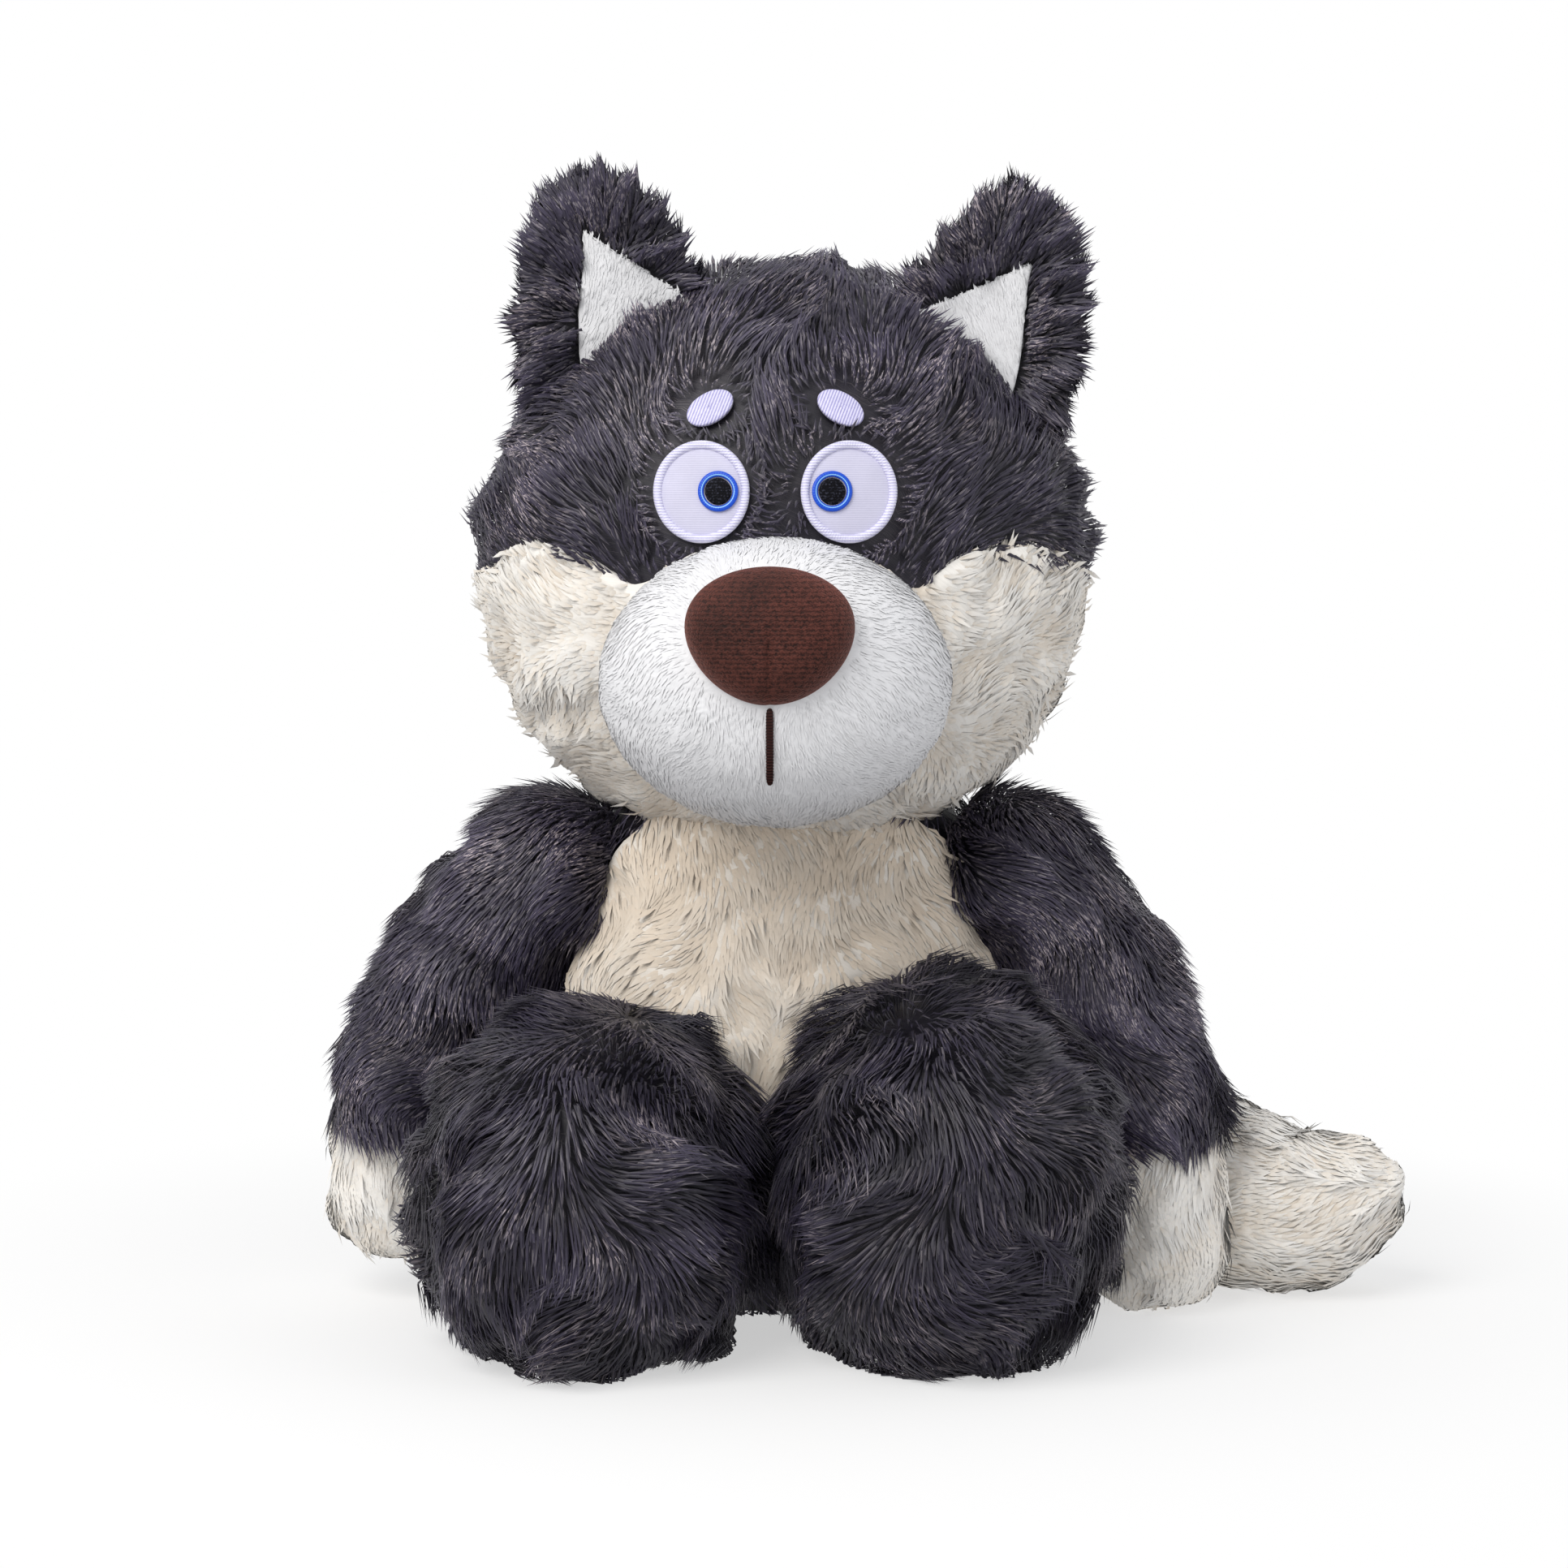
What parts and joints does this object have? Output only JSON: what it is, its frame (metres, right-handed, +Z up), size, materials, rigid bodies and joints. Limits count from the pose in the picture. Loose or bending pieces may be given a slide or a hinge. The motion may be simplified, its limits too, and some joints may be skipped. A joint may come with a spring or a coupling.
{
  "type": "plush husky",
  "caption": "Sitting plush husky with dark shaggy fur, cream cheeks, belly, paws and tail, a white muzzle with a brown nose, and embroidered blue eyes.",
  "frame": {"origin": "middle of the flat seat under the torso, on the surface the toy sits on", "axes": "+Z up from the seat to the ears, -Y the way the face looks, +X towards the toy's left arm and the end of its tail"},
  "size_m": [0.3907, 0.2802, 0.3949],
  "materials": {
    "dark_fur": "long dark grey-violet pile in swirling locks with silvery tips",
    "cream_fur": "soft cream pile in curly clumps",
    "white_pile": "short shiny white pile",
    "nose_velour": "brown knitted velour",
    "mouth_thread": "dark brown satin stitch",
    "eye_cloth": "pale lavender woven cloth",
    "rim_thread": "pale lavender satin stitch",
    "iris_thread": "blue satin stitch",
    "pupil_thread": "black filled stitch"
  },
  "bodies": {
    "root": {"torso": "dark_fur", "belly_panel": "cream_fur", "head_crown": "dark_fur", "left_cheek": "cream_fur", "right_cheek": "cream_fur", "muzzle": "white_pile", "nose": "nose_velour", "mouth_stitch": "mouth_thread", "tail": "cream_fur", "left_ear": "dark_fur", "left_ear_lining": "white_pile", "left_eye_cloth": "eye_cloth", "left_eye_rim": "rim_thread", "left_iris_ring": "iris_thread", "left_pupil": "pupil_thread", "left_brow": "rim_thread", "left_arm": "dark_fur", "left_hand": "cream_fur", "left_leg": "dark_fur", "right_ear": "dark_fur", "right_ear_lining": "white_pile", "right_eye_cloth": "eye_cloth", "right_eye_rim": "rim_thread", "right_iris_ring": "iris_thread", "right_pupil": "pupil_thread", "right_brow": "rim_thread", "right_arm": "dark_fur", "right_hand": "cream_fur", "right_leg": "dark_fur"}
  },
  "joints": []
}
